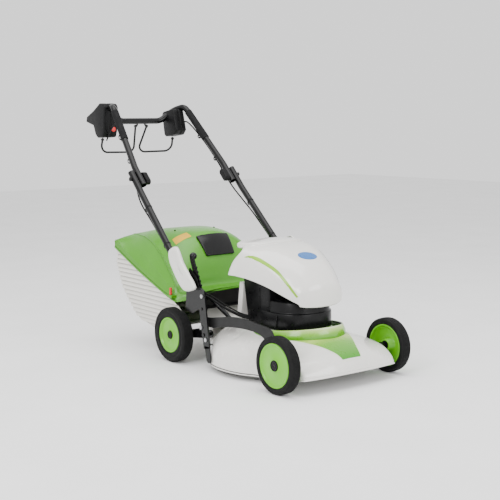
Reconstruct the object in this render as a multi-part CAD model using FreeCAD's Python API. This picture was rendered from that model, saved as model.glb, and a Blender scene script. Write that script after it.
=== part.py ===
"""Battery walk-behind lawn mower with a rear grass collector, in millimetres.

+X points to the front of the mower, +Y to its left, +Z up, ground at z = 0.
While modelling, x is measured from the front axle.  Every piece is moved at the
end so that the origin lies on the ground below the middle of the mower.
"""
import FreeCAD, Part
import math
import os

from FreeCAD import Vector as V

os.makedirs("parts", exist_ok=True)

# ---------------------------------------------------------------- driving sizes
ORIGIN_X = -611.8           # middle of the length, measured from the front axle

FRONT_R = 95.0              # front wheel
FRONT_W = 41.0
FRONT_OUT_Y = 266.0         # outer face of a front wheel
REAR_R = 100.0              # rear wheel
REAR_W = 46.0
REAR_OUT_Y = 272.0
WHEELBASE = 600.0
RIM_FRONT_R = 73.0
RIM_REAR_R = 64.0
AXLE_R = 8.0
HUB_R = 15.0

DECK_BOTTOM = 20.0
DECK_WALL = 3.5
# the round pan over the blade: height, middle x, half length, half width
PAN_LEVELS = ((20, -300, 231, 246), (60, -300, 230, 245), (88, -300, 226, 237), (104, -299, 221, 223),
              (122, -297, 212, 199), (145, -288, 196, 152), (166, -276, 180, 114))
PAN_POWER = 2.2
# the nose between the front wheels: height, middle x, half length, half width before its sides are cut
NOSE_LEVELS = ((20, -275, 373, 457), (50, -275, 372, 457), (70, -275, 368, 428), (88, -275, 361, 360),
               (104, -275, 349, 303), (122, -275, 319, 214), (145, -275, 267, 152), (166, -275, 215, 114))
NOSE_POWER = 2.5
NOSE_REAR_X = -180.0
DECK_REAR_X = -486.0
ARCH_X = -108.0             # the main pressing and the nose meet here
ARCH_Y = 205.0              # the nose's half width between the front wheels

BLADE_X = -268.0
BLADE_Z = 42.0
BLADE_R = 208.0
SHAFT_R = 12.5

FRONT_PIVOT = (-34.0, 60.0)     # x, z of the front crank's rod
REAR_PIVOT = (-420.0, 125.0)    # x, z of the rear swing arms' pins
LEVER_PIVOT = (-430.0, 216.0)
LEVER_SWING = 30.0              # degrees
LEVER_ARM = 46.0                # lever pivot to link pin
CRANK_ARM = 24.0                # front pivot to link pin
HOOD_PIVOT = (-57.0, 259.0)     # x, z of the hood's front hinge
HOOD_PIN_R = 3.0
PIN_R = 4.0
RUN = 0.06                      # radial clearance of a running fit

TUBE_R = 12.5
TUBE_WALL = 2.0
CLAMP = (-873.0, 653.0)         # x, z of the handle's folding axis
LOWER_Y = 236.5
UPPER_Y = 210.0
LOWER_FOOT = (-497.0, 250.0, 288.0)
TOP_BEND = (-1133.0, 172.0, 929.0)
BAR_X = -1208.0
BAR_Z = 870.0
BAR_HALF = 96.0
WIRE_R = 4.2
CABLE_R = 3.0

LID_WALL = 3.5
BASKET_WALL = 3.0


# ---------------------------------------------------------------------- helpers
def save(name, *solids):
    """Write one node, moved from the front axle frame to the part's frame."""
    shape = solids[0] if len(solids) == 1 else Part.makeCompound(list(solids))
    shape = shape.copy()
    shape.translate(V(-ORIGIN_X, 0, 0))
    shape.exportStep("parts/%s.step" % name)


def box(x0, x1, y0, y1, z0, z1):
    return Part.makeBox(x1 - x0, y1 - y0, z1 - z0, V(x0, y0, z0))


def softened(shape, radius):
    """Round the edges round a plate's two long-sided faces."""
    edges = [e for e in shape.Edges if e.BoundBox.YLength < 0.1 and e.Length > 3 * radius]
    return shape.makeFillet(radius, edges)


def rod(start, end, radius):
    """A round bar between two points."""
    a = V(*start)
    b = V(*end)
    return Part.makeCylinder(radius, (b - a).Length, a, b - a)


def pin_y(x, z, y0, y1, radius):
    """A round bar along Y."""
    return Part.makeCylinder(radius, y1 - y0, V(x, y0, z), V(0, 1, 0))


def mirrored(shape):
    return shape.mirror(V(0, 0, 0), V(0, 1, 0))


def side(shape, left):
    """A shape drawn on the right (-Y) side, or its mirror image on the left."""
    return mirrored(shape) if left else shape


def fuse(first, *others):
    return first.multiFuse(list(others)).removeSplitter()


def plate(points, y0, y1):
    """A plate with an outline of (x, z) points, between two y planes."""
    corners = [V(x, y0, z) for x, z in points]
    wire = Part.makePolygon(corners + corners[:1])
    return Part.Face(wire).extrude(V(0, y1 - y0, 0))


def strap(a, b, radius, y0, y1):
    """A flat bar with round ends between two (x, z) points."""
    run = V(b[0] - a[0], 0, b[1] - a[1])
    across = V(run.z, 0, -run.x)
    across.normalize()
    corners = []
    for (x, z), sign in ((a, 1), (b, 1), (b, -1), (a, -1)):
        corners.append((x + across.x * radius * sign, z + across.z * radius * sign))
    ends = [pin_y(x, z, y0, y1, radius) for x, z in (a, b)]
    return fuse(plate(corners, y0, y1), *ends)


def bent_path(points, radii):
    """Straight runs joined by tangent arcs."""
    points = [V(*p) for p in points]
    edges = []
    start = points[0]
    for before, corner, after, radius in zip(points, points[1:], points[2:], radii):
        inward = (before - corner).normalize()
        outward = (after - corner).normalize()
        half = inward.getAngle(outward) / 2
        reach = radius / math.tan(half)
        first = corner + inward * reach
        last = corner + outward * reach
        towards = (inward + outward).normalize()
        middle = corner + towards * (radius / math.sin(half) - radius)
        if (first - start).Length > 1e-6:
            edges.append(Part.LineSegment(start, first).toShape())
        edges.append(Part.Arc(first, middle, last).toShape())
        start = last
    edges.append(Part.LineSegment(start, points[-1]).toShape())
    return Part.Wire(edges)


def pipe(points, radii, radius):
    """A round solid along a bent path."""
    path = bent_path(points, radii)
    start = V(*points[0])
    ring = Part.Wire(Part.makeCircle(radius, start, V(*points[1]) - start))
    return path.makePipeShell([ring], True, False)


def tube(points, radii, radius, wall):
    return pipe(points, radii, radius).cut(pipe(points, radii, radius - wall))


def largest_radii(points):
    """The largest tangent arcs that neighbouring runs leave room for."""
    points = [V(*p) for p in points]
    radii = []
    for before, corner, after in zip(points, points[1:], points[2:]):
        inward = before - corner
        outward = after - corner
        turn = math.pi - inward.getAngle(outward)
        radii.append(0.45 * min(inward.Length, outward.Length) / math.tan(turn / 2))
    return radii


def oval_wire(cx, half_x, half_y, z, power, count=28):
    """A closed smooth outline, squarer than an ellipse, at height z."""
    points = []
    for i in range(count):
        angle = 2 * math.pi * (i + 0.5) / count
        c = math.cos(angle)
        s = math.sin(angle)
        scale = (abs(c) ** power + abs(s) ** power) ** (-1 / power)
        points.append(V(cx + half_x * c * scale, half_y * s * scale, z))
    curve = Part.BSplineCurve()
    curve.interpolate(points, PeriodicFlag=True)
    return Part.Wire(curve.toShape())


def section_loft(sections, ruled=True):
    """A solid through closed polygons that have the same number of corners."""
    wires = []
    for corners in sections:
        corners = [V(*p) for p in corners]
        wires.append(Part.makePolygon(corners + corners[:1]))
    return Part.makeLoft(wires, True, ruled)


# ------------------------------------------------------------------------- deck
def stacked(levels, power, inset, top=0.0, bottom=0.0):
    """A solid through ovals, drawn in by the inset, with its ends moved down."""
    wires = []
    last = len(levels) - 1
    for index, (z, middle, half_x, half_y) in enumerate(levels):
        level = z - top if index == last else z
        level = level - bottom if index == 0 else level
        wires.append(oval_wire(middle, half_x - inset, half_y - inset, level, power))
    return Part.makeLoft(wires, True, True)


def deck_solid(inset, top=0.0, bottom=0.0):
    """The pan and the nose as one solid."""
    far = 500.0
    pan = stacked(PAN_LEVELS, PAN_POWER, inset, top, bottom)
    pan = pan.common(box(DECK_REAR_X + inset, far, -far, far, -20, far))
    nose = stacked(NOSE_LEVELS, NOSE_POWER, inset, top, bottom)
    nose = nose.common(box(NOSE_REAR_X, far, -ARCH_Y + inset, ARCH_Y - inset, -20, far))
    return pan.fuse(nose)


def deck_shell():
    shell = deck_solid(0).cut(deck_solid(DECK_WALL, DECK_WALL, 5.0))
    # the nose's lower edge rises towards the front
    under_nose = plate(((-100, 0), (-92, 20), (-60, 30), (30, 38), (120, 56), (120, 0)), -220, 220)
    shell = shell.cut(under_nose)
    # way out to the discharge tunnel, and holes for the shaft and the front crank's rod
    tunnel_mouth = box(DECK_REAR_X - 1, DECK_REAR_X + 40, -140, 140, 78, 128)
    shaft_hole = Part.makeCylinder(SHAFT_R + 6, 60, V(BLADE_X, 0, 130))
    crank_hole = pin_y(*FRONT_PIVOT, -ARCH_Y - 5, ARCH_Y + 5, AXLE_R - 1 + RUN)
    return shell.cut(tunnel_mouth).cut(shaft_hole).cut(crank_hole)


def deck_parts():
    """The main pressing, and the nose pressing that butts on to it between the front wheels."""
    whole = deck_shell()
    main = whole.common(box(-600, ARCH_X, -400, 400, 0, 300))
    nose = whole.common(box(ARCH_X, 200, -400, 400, 0, 300))
    return main, nose


def discharge_tunnel():
    """Sheet duct from the deck up to the mouth of the collector."""
    half = 158.0
    front = DECK_REAR_X - 1.0
    rear = -546.0

    def duct(grow, longer):
        sections = []
        for x, low, high in ((front + longer, 74, 132), (-512, 98, 160), (rear - longer, 134, 190)):
            w = half + grow
            sections.append(((x, -w, low - grow), (x, w, low - grow), (x, w, high + grow), (x, -w, high + grow)))
        return section_loft(sections)
    return duct(0, 0).cut(duct(-3, 1))


def collar_ring():
    """Raised rim round the motor on top of the deck, wider at the front."""
    z0 = 157.0
    z1 = 184.0
    outer = oval_wire(-205, 180, 143, z0, 2.1)
    inner = oval_wire(-205, 175, 138, z0 - 1, 2.1)
    ring = Part.Face(outer).extrude(V(0, 0, z1 - z0)).cut(Part.Face(inner).extrude(V(0, 0, z1 - z0 + 2)))
    # open behind
    return ring.cut(box(-400, -272, -200, 200, 100, 250))


def motor_housing():
    """Black moulded drum over the motor, taller behind, with a step in its side."""
    base_z = 166.5
    step_z = 222.0
    top_z = 262.0
    lower_oval = (-215, 125, 116)
    upper_oval = (-212, 118, 108)

    def drum(size, inset, z, height):
        middle, half_x, half_y = size
        return Part.Face(oval_wire(middle, half_x - inset, half_y - inset, z, 2.6)).extrude(V(0, 0, height))
    lower = drum(lower_oval, 0, base_z, step_z - base_z)
    upper = drum(upper_oval, 0, base_z, top_z - base_z)
    # the rear block rises under the hood and holds the battery
    rear_block = section_loft([
        ((-352, -116, 168), (-352, 116, 168), (-230, 116, 168), (-230, -116, 168)),
        ((-352, -116, 322), (-352, 116, 322), (-215, 106, 292), (-215, -106, 292)),
        ((-346, -106, 372), (-346, 106, 372), (-225, 98, 372), (-225, -98, 372))])
    wall = 3.0
    block = section_loft([
        ((-348, -112, 167), (-348, 112, 167), (-230, 112, 167), (-230, -112, 167)),
        ((-348, -112, 321), (-348, 112, 321), (-219, 102, 291), (-219, -102, 291)),
        ((-342, -102, 373), (-342, 102, 373), (-229, 94, 373), (-229, -94, 373))])
    inside = fuse(drum(lower_oval, wall, base_z - 1, step_z - base_z - wall + 1),
                  drum(upper_oval, wall, base_z - 1, top_z - base_z - wall + 1), block)
    return fuse(fuse(lower, upper, rear_block).cut(inside), hood_hinge_arm())


def hood_hinge_arm():
    """Arm in front of the drum with the pin that the hood turns on."""
    x, z = HOOD_PIVOT
    arm = box(-99, x, -14, 14, z - 5, z + 3)
    return fuse(arm, pin_y(x, z, -14, 14, 5), pin_y(x, z, -30, 30, HOOD_PIN_R))


def motor_stator():
    ring = Part.makeCylinder(78, 52, V(BLADE_X, 0, 170))
    return ring.cut(Part.makeCylinder(46, 54, V(BLADE_X, 0, 169)))


def battery_pack():
    body = box(-330, -240, -92, 92, 236, 366)
    return body.makeFillet(6, body.Edges)


def rear_duct():
    """White moulded rib between the motor housing and the rear beam."""
    outline = ((-374, 168), (-356, 300), (-362, 306), (-378, 306), (-398, 168))
    return plate(outline, -112, 112)


# ---------------------------------------------------------------- rear structure
def rear_frame(left):
    """Slanted flat bar that ties the deck, the swing arm and the handle together."""
    outline = ((-418, 76), (-386, 82), (-398, 170), (-414, 282), (-470, 296), (-478, 262), (-448, 240),
               (-438, 170))
    bar = plate(outline, -242, -236)
    foot = box(-416, -388, -236, -225, 92, 96)
    lever_hole = pin_y(*LEVER_PIVOT, -245, -230, 5 + RUN)
    arm_hole = pin_y(*REAR_PIVOT, -245, -230, 6 + RUN)
    piece = fuse(bar, foot).cut(arm_hole)
    if not left:
        piece = piece.cut(lever_hole)
    return side(piece, left)


def rear_crossbeam():
    """Pressed channel across the machine behind the motor."""
    beam = box(-532, -504, -230.5, 230.5, 197, 258)
    beam = beam.cut(box(-529, -500, -240, 240, 200, 255))
    # a notch that the height lever passes when it is pulled right back
    return beam.cut(box(-533, -503, -231, -221, 246, 259))


def handle_bracket(left):
    """Cheek plate that carries the foot of the handle."""
    outline = ((-540, 198), (-500, 190), (-452, 214), (-440, 262), (-472, 326), (-512, 352), (-530, 300))
    cheek = plate(outline, -235.6, -231)
    notch = strap(LEVER_PIVOT, (-442, 172), 12, -236, -230)
    return side(cheek.cut(notch), left)


def handle_cover(left):
    """White moulded cover over the foot of the handle tube."""
    low = V(-462, 0, 292)
    high = V(-566, 0, 414)
    outer = strap((low.x, low.z), (high.x, high.z), 22, -275, -264.6)
    return side(outer.makeFillet(3, [e for e in outer.Edges if e.BoundBox.YMax < -274.9]), left)


def frame_bolts():
    bolts = []
    for sign in (-1, 1):
        for x, z in ((-432, 150), (-404, 110), (-425, 262)):
            head = Part.makeCylinder(7, 4.5, V(x, sign * 242.0, z), V(0, sign, 0))
            bolts.append(head)
    return bolts


def brace_rods():
    """Two round stays from the rear beam down to the collar on the right side."""
    rods = []
    for start, end in (((-503, -128, 224), (-362, -152, 170)), ((-503, -150, 232), (-352, -168, 176))):
        rods.append(rod(start, end, 5))
    return rods


# ------------------------------------------------------------- wheels and axles
def wheel_parts(x, z, radius, width, rim_r, out_y, rear):
    """Tyre, rim, hub bearing and cap of a right-hand wheel."""
    in_y = -out_y + width
    mid_y = -out_y + width / 2

    def turned(profile):
        corners = [V(x + r, y, z) for r, y in profile]
        face = Part.Face(Part.makePolygon(corners + corners[:1]))
        return face.revolve(V(x, 0, z), V(0, 1, 0), 360)
    crown = 6.0
    bead = rim_r + 0.4
    tyre = turned(((bead, -out_y + 3), (bead + 4, -out_y + 0.5), (radius - crown, -out_y),
                   (radius - 1.6, -out_y + crown), (radius, mid_y), (radius - 1.6, in_y - crown),
                   (radius - crown, in_y), (bead + 4, in_y - 0.5), (bead, in_y - 3)))
    dish = 12.0 if rear else 5.0
    hub = HUB_R + 7
    rim = turned(((HUB_R, -out_y + dish - 1), (hub, -out_y + dish - 1), (rim_r - 7, -out_y + dish - 2),
                  (rim_r - 4, -out_y + 2.5), (rim_r, -out_y + 2.5), (rim_r, in_y - 2.5),
                  (rim_r - 4, in_y - 2.5), (rim_r - 6, -out_y + dish + 3), (hub, -out_y + dish + 3),
                  (hub - 2, in_y - 6), (HUB_R, in_y - 6)))
    bearing = pin_y(x, z, -out_y + dish, in_y - 6, HUB_R - 0.05)
    bearing = bearing.cut(pin_y(x, z, -out_y - 5, in_y + 5, AXLE_R + RUN))
    cap = turned(((0, -out_y + dish - 5.5), (HUB_R - 1, -out_y + dish - 5.5), (HUB_R + 3, -out_y + dish - 1.1),
                  (0, -out_y + dish - 1.1)))
    return tyre, rim, bearing, cap


def front_crank():
    """Rod across the nose with an arm, a stub axle and a link pin at its ends."""
    px, pz = FRONT_PIVOT
    half = ARCH_Y + 4
    pieces = [pin_y(px, pz, -half - 7, half + 7, AXLE_R - 1)]
    for sign in (-1, 1):
        y0, y1 = sorted((sign * half, sign * (half + 7)))
        pieces.append(strap((px, pz), (0, FRONT_R), 13, y0, y1))
        y0, y1 = sorted((sign * half, sign * (FRONT_OUT_Y - 6)))
        pieces.append(pin_y(0, FRONT_R, y0, y1, AXLE_R))
    swing = math.radians(30)
    link_pin = (px - CRANK_ARM * math.sin(swing), pz + CRANK_ARM * math.cos(swing))
    pieces.append(strap((px, pz), link_pin, 9, -half - 7, -half))
    pieces.append(pin_y(*link_pin, -half - 14, -half, PIN_R))
    return fuse(*pieces)


def rear_swing_arms():
    """Two arms pinned to the frame, welded to the rear axle tube."""
    px, pz = REAR_PIVOT
    ax, az = -WHEELBASE, REAR_R
    pieces = [pin_y(ax, az, -REAR_OUT_Y + 15, REAR_OUT_Y - 15, AXLE_R)]
    for sign in (-1, 1):
        y0, y1 = sorted((sign * 209.0, sign * 216.0))
        pieces.append(strap((px, pz), (ax, az), 15, y0, y1))
        y0, y1 = sorted((sign * 209.0, sign * 245.0))
        pieces.append(pin_y(px, pz, y0, y1, 6))
    return fuse(*pieces)


def drive_gearbox():
    ax, az = -WHEELBASE, REAR_R
    case = fuse(pin_y(ax, az, 30, 88, 25), pin_y(ax + 46, az - 12, 20, 78, 22),
                box(ax, ax + 46, 36, 76, az - 30, az + 12))
    return case.cut(pin_y(ax, az, 0, 100, AXLE_R + 0.1))


def height_lever():
    """Hand lever with a notched edge, and the short arm that pulls the link."""
    px, pz = LEVER_PIVOT
    y0, y1 = -229.6, -224.0
    pull = math.radians(LEVER_SWING / 2)
    arm = (px - LEVER_ARM * math.sin(pull), pz - LEVER_ARM * math.cos(pull))
    top = (-507, 385)
    blade = strap(LEVER_PIVOT, top, 11, y0, y1)
    lower = strap(LEVER_PIVOT, arm, 9, y0, y1)
    link_pin = pin_y(*arm, -229.6, -214.5, PIN_R)
    shaft = pin_y(px, pz, -245, -224, 5)
    teeth = []
    for i in range(6):
        share = 0.35 + 0.09 * i
        x = px + (top[0] - px) * share + 10
        z = pz + (top[1] - pz) * share + 5
        teeth.append(pin_y(x, z, y0, y1, 4))
    return fuse(blade, lower, link_pin, shaft, *teeth)


def lever_knob():
    ball = Part.makeSphere(13.5, V(-514, -217, 393))
    return ball.cut(height_lever())


def height_link():
    """Flat band from the lever to the front crank, bent down behind the wheel."""
    pull = math.radians(LEVER_SWING / 2)
    rear = (LEVER_PIVOT[0] - LEVER_ARM * math.sin(pull), LEVER_PIVOT[1] - LEVER_ARM * math.cos(pull))
    swing = math.radians(30)
    front = (FRONT_PIVOT[0] - CRANK_ARM * math.sin(swing), FRONT_PIVOT[1] + CRANK_ARM * math.cos(swing))
    outline = ((-452, 158), (-400, 152), (-294, 170), (-208, 176), (-130, 172), (-84, 150), (-66, 84),
               (-58, 66), (-34, 66), (-28, 84), (-44, 160), (-66, 196), (-127, 205), (-208, 211), (-294, 206),
               (-400, 188), (-452, 184))
    band = plate(outline, -223, -217.5)
    band = band.cut(pin_y(*rear, -230, -210, PIN_R + RUN))
    return band.cut(pin_y(*front, -230, -210, 10.5))


# ----------------------------------------------------------------- cutting tool
def blade():
    half = BLADE_R
    bar = box(BLADE_X - half, BLADE_X + half, -27, 27, BLADE_Z, BLADE_Z + 4)
    disc = Part.makeCylinder(half, 10, V(BLADE_X, 0, BLADE_Z - 2))
    bar = bar.common(disc)
    for turn in (0, 180):
        wing = box(BLADE_X + half - 70, BLADE_X + half - 14, -27, -13, BLADE_Z + 4, BLADE_Z + 18)
        wing.rotate(V(BLADE_X, 0, 0), V(0, 0, 1), turn)
        bar = fuse(bar, wing)
    return bar.cut(Part.makeCylinder(6.1, 40, V(BLADE_X, 0, 20)))


def blade_shaft():
    shaft = Part.makeCylinder(SHAFT_R, 160, V(BLADE_X, 0, BLADE_Z + 4.2))
    flange = Part.makeCylinder(32, 8, V(BLADE_X, 0, BLADE_Z + 4.2))
    rotor = Part.makeCylinder(44, 44, V(BLADE_X, 0, 173))
    bore = Part.makeCylinder(6.1, 40, V(BLADE_X, 0, BLADE_Z))
    return fuse(shaft, flange, rotor).cut(bore)


def blade_bolt():
    head = Part.makeCylinder(13, 8, V(BLADE_X, 0, BLADE_Z - 8.2))
    return fuse(head, Part.makeCylinder(6, 34, V(BLADE_X, 0, BLADE_Z - 8.2)))


# ------------------------------------------------------------------------- hood
# x, crest z, shoulder half width and z, lower edge half width and z
HOOD_RIBS = ((-404, 440, 146, 415, 176, 376), (-372, 449, 152, 424, 184, 345), (-300, 449, 148, 420, 168, 334),
             (-232, 438, 138, 402, 152, 320), (-180, 422, 126, 374, 140, 304), (-128, 396, 112, 338, 122, 282),
             (-88, 356, 100, 296, 104, 262), (-62, 316, 86, 270, 90, 254), (-47, 276, 70, 262, 74, 252))


def hood_section(x, crest, shoulder_y, shoulder_z, edge_y, edge_z, inset):
    """Half of an arch from the lower edge over the crest, then its mirror image."""
    half = ((edge_y - inset, edge_z), (shoulder_y + 8 - inset, (shoulder_z + edge_z) / 2),
            (shoulder_y - inset, shoulder_z - inset / 2),
            (shoulder_y * 0.72, shoulder_z + (crest - shoulder_z) * 0.6 - inset),
            (shoulder_y * 0.36, shoulder_z + (crest - shoulder_z) * 0.92 - inset), (0, crest - inset))
    right = [(x, -y, z) for y, z in half]
    left = [(x, y, z) for y, z in reversed(half[:-1])]
    return right + left


def hood():
    wall = 4.0
    outer = section_loft([hood_section(*rib, 0) for rib in HOOD_RIBS])
    ribs = list(HOOD_RIBS)
    first = (ribs[0][0] - 2,) + ribs[0][1:]
    last = (ribs[-1][0] - wall,) + ribs[-1][1:]
    inner_ribs = [first] + ribs[1:-1] + [last]
    inner = []
    for rib in inner_ribs:
        lowered = rib[:5] + (rib[5] - 3,)
        inner.append(hood_section(*lowered, wall))
    rear_wall = section_loft([hood_section(*ribs[0], wall), hood_section(-400, *ribs[0][1:], wall)])
    shell = fuse(outer.cut(section_loft(inner)), rear_wall)
    x, z = HOOD_PIVOT
    for sign in (-1, 1):
        y0, y1 = sorted((sign * 16.0, sign * 26.0))
        shell = fuse(shell, pin_y(x, z, y0, y1, 6), box(x, -49, y0, y1, z - 5, z + 5))
    return shell.cut(pin_y(x, z, -27, 27, HOOD_PIN_R + RUN))


# -------------------------------------------------------------------- collector
# x, crest z, shoulder half width and z, lower edge half width and z
LID_RIBS = ((-1004, 424, 205, 414, 250, 378), (-950, 441, 195, 418, 250, 357), (-892, 450, 188, 418, 250, 332),
            (-824, 456, 182, 414, 250, 304), (-749, 457, 176, 405, 249, 276), (-700, 438, 170, 384, 248, 256),
            (-650, 374, 160, 336, 246, 236), (-602, 286, 150, 268, 240, 222))


def arch(x, crest, shoulder_y, shoulder_z, edge_y, edge_z, inset):
    half = ((edge_y - inset, edge_z), (edge_y - 2 - inset, edge_z + (shoulder_z - edge_z) * 0.45),
            (shoulder_y + 6 - inset, shoulder_z - inset), (shoulder_y * 0.66, crest - (crest - shoulder_z) * 0.3 - inset),
            (0, crest - inset))
    right = [(x, -y, z) for y, z in half]
    left = [(x, y, z) for y, z in reversed(half[:-1])]
    return right + left


def collector_lid():
    outer = section_loft([arch(*rib, 0) for rib in LID_RIBS])
    inner = []
    for index, rib in enumerate(LID_RIBS):
        x = rib[0]
        if index == 0:
            x += LID_WALL
        if index == len(LID_RIBS) - 1:
            x -= LID_WALL + 2
        lowered = rib[:5] + (rib[5] - 3,)
        inner.append(arch(x, *lowered[1:], LID_WALL))
    shell = outer.cut(section_loft(inner))
    # the front face runs down into a lip that closes on the rear beam
    lip = section_loft([((-612, -196, 222), (-612, 196, 222), (-612, 196, 290), (-612, -196, 290)),
                        ((-590, -190, 240), (-590, 190, 240), (-590, 190, 262), (-590, -190, 262)),
                        ((-540, -178, 258.6), (-540, 178, 258.6), (-540, 178, 268), (-540, -178, 268))])
    return fuse(shell, lip.cut(section_loft(inner)))


def collector_panel():
    """Black wedge that forms the carrying grip of the lid."""
    wedge = section_loft([((-712, -62, 446), (-712, 62, 446), (-712, 62, 462), (-712, -62, 462)),
                          ((-700, -62, 432), (-700, 62, 432), (-700, 62, 460), (-700, -62, 460)),
                          ((-645, -58, 352), (-645, 58, 352), (-645, 58, 388), (-645, -58, 388))])
    lid_space = section_loft([arch(*rib, 0) for rib in LID_RIBS])
    grown = lid_space.copy()
    grown.translate(V(0.3, 0, 0.4))
    return wedge.cut(grown).cut(lid_space)


# x, half width and z at the top edge, half width and z of the floor
BASKET_RIBS = ((-1036, 240, 322, 205, 250), (-1000, 245, 376, 212, 222), (-912, 245, 338, 214, 120),
               (-806, 245, 294, 212, 90), (-712, 243, 257, 206, 112), (-690, 214, 250, 200, 120),
               (-612, 212, 216, 198, 129), (-560, 190, 214, 186, 130))


def basket_section(x, top_y, top_z, floor_y, floor_z, inset, raised=0.0):
    corner = floor_z + (top_z - floor_z) * 0.18
    half = ((0, floor_z + inset), (floor_y - inset, floor_z + inset),
            (floor_y + (top_y - floor_y) * 0.5 - inset, corner + inset), (top_y - inset, top_z + raised))
    left = [(x, y, z) for y, z in half]
    right = [(x, -y, z) for y, z in reversed(half[1:])]
    return left + right


def collector_basket():
    outer = section_loft([basket_section(*rib, 0) for rib in BASKET_RIBS])
    ribs = list(BASKET_RIBS)
    first = (ribs[0][0] + BASKET_WALL,) + ribs[0][1:]
    last = (ribs[-1][0] - BASKET_WALL,) + ribs[-1][1:]
    inner = [basket_section(*rib, BASKET_WALL, 3) for rib in [first] + ribs[1:-1] + [last]]
    mouth = box(-566, -555, -152, 152, 136, 206)
    basket = outer.cut(section_loft(inner)).cut(mouth)
    lid_space = section_loft([arch(*rib, 0) for rib in LID_RIBS])
    return basket.cut(lid_space)


def latch_base():
    return box(-626, -602.5, -256, -234, 232, 244)


def collector_latch():
    peg = Part.makeCylinder(5, 26, V(-614, -250, 244.5))
    return peg.makeFillet(3, [e for e in peg.Edges if e.BoundBox.ZMin > 270])


# ----------------------------------------------------------------------- handle
def lower_tube(left):
    x, y, z = LOWER_FOOT
    path = ((x, -y, z), (-828, -LOWER_Y, 606), (-896, -LOWER_Y, 677.5))
    piece = tube(path, (120,), TUBE_R, TUBE_WALL)
    hole = pin_y(*CLAMP, -260, -200, PIN_R + RUN)
    return side(piece.cut(hole), left)


UPPER_RIGHT = ((-849, -UPPER_Y, 629), (-912, -UPPER_Y, 694), (TOP_BEND[0], -TOP_BEND[1], TOP_BEND[2]),
               (-1192, -158, 916), (BAR_X, -BAR_HALF, BAR_Z))
UPPER_RADII = (150, 40, 42, 50)


def upper_path():
    left = [(x, -y, z) for x, y, z in reversed(UPPER_RIGHT)]
    return list(UPPER_RIGHT) + left


BAIL_PIVOTS = {
    "right": ((-1226, -170, 796), (-1214, -20, 849)),
    "left": ((-1196, 150, 796), (-1214, 34, 849)),
}
BAIL_PIN_R = 2.4


def upper_handle():
    """The upper tube, with the two lugs that carry the inner ends of the bails."""
    radii = UPPER_RADII + tuple(reversed(UPPER_RADII))
    piece = tube(upper_path(), radii, TUBE_R, TUBE_WALL)
    for outer, inner in BAIL_PIVOTS.values():
        piece = fuse(piece, bail_pin(inner, bail_axis(outer, inner), 9.5))
    return piece.cut(pin_y(*CLAMP, -260, 260, PIN_R + RUN))


def handle_sleeves():
    """Matte sleeves over the upper ends of the handle's side tubes."""
    sleeves = []
    start = V(-1010, -193.1, 798.5)
    end = V(-1112, -175.6, 906.7)
    ring = rod(start, end, TUBE_R + 2.2).cut(rod(start, end, TUBE_R + 0.25))
    return [ring, mirrored(ring)]


def clamp_knob(left):
    """Oval knob on the inner side of the tubes, with its bolt."""
    x, z = CLAMP
    bolt = pin_y(x, z, -253, -190, PIN_R)
    head = pin_y(x, z, -256, -250.5, 8)
    grip = strap((x - 11, z + 11), (x + 11, z - 11), 13, -196.5, -176)
    grip = grip.makeFillet(4, [e for e in grip.Edges if e.BoundBox.YMin > -176.5])
    return side(fuse(bolt, head, grip), left)


def solid_handle():
    radii = UPPER_RADII + tuple(reversed(UPPER_RADII))
    return pipe(upper_path(), radii, TUBE_R + 0.2)


def control_box_right():
    outline = ((-1166, 926), (-1176, 940), (-1208, 943), (-1262, 912), (-1316, 889), (-1322, 868),
               (-1266, 850), (-1258, 812), (-1238, 803), (-1186, 806), (-1176, 830))
    case = softened(plate(outline, -192, -128), 4)
    start_hole = Part.makeCylinder(9.4, 20, V(-1276, -165, 831), V(1, 0, 0))
    stop_hole = Part.makeCylinder(10.4, 18, V(-1187, -148, 838), V(1, 0, 0))
    case = case.cut(solid_handle()).cut(start_hole).cut(stop_hole)
    outer, inner = BAIL_PIVOTS["right"]
    return fuse(case, bail_pin(outer, bail_axis(outer, inner), 12))


def start_button():
    return Part.makeCylinder(9, 11, V(-1272, -165, 831), V(1, 0, 0))


def stop_button():
    return Part.makeCylinder(10, 12, V(-1182.5, -148, 838), V(1, 0, 0))


def control_box_left():
    outline = ((-1230, 896), (-1222, 908), (-1152, 920), (-1142, 912), (-1120, 832), (-1138, 812),
               (-1205, 804), (-1214, 812))
    case = softened(plate(outline, 120, 172), 4).cut(solid_handle())
    outer, inner = BAIL_PIVOTS["left"]
    return fuse(case, bail_pin(outer, bail_axis(outer, inner), 12))


def bail_axis(outer, inner):
    return (V(*inner) - V(*outer)).normalize()


def bail(outer, inner):
    """A wire loop that hangs from the control box and the middle of the bar."""
    sign = -1 if outer[1] < 0 else 1
    axis = bail_axis(outer, inner)
    path = (outer, (outer[0] - 14, outer[1] + sign * 2, 744), (-1252, sign * 9, 741), inner)
    radii = (34, 24)
    eyes = []
    bores = []
    for point in (outer, inner):
        start = V(*point) - axis * 4.5
        eyes.append(Part.makeCylinder(6, 9, start, axis))
        bores.append(Part.makeCylinder(BAIL_PIN_R + RUN, 13, start - axis * 2, axis))
    return fuse(pipe(path, radii, WIRE_R), *eyes).cut(fuse(*bores))


def bail_pin(point, axis, up):
    """A pin through a bail's eye, and the lug that carries it on one side."""
    pin = Part.makeCylinder(BAIL_PIN_R, 16, V(*point) - axis * 5, axis)
    foot = V(*point) + axis * 8.5
    return fuse(pin, Part.makeCylinder(3.4, up, foot, V(0.12, 0, 1)))


def off_tube(points, offset):
    """Points beside the handle tube, on its rear and lower side."""
    return [(x - offset * 0.69, y, z - offset * 0.72) for x, y, z in points]


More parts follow.
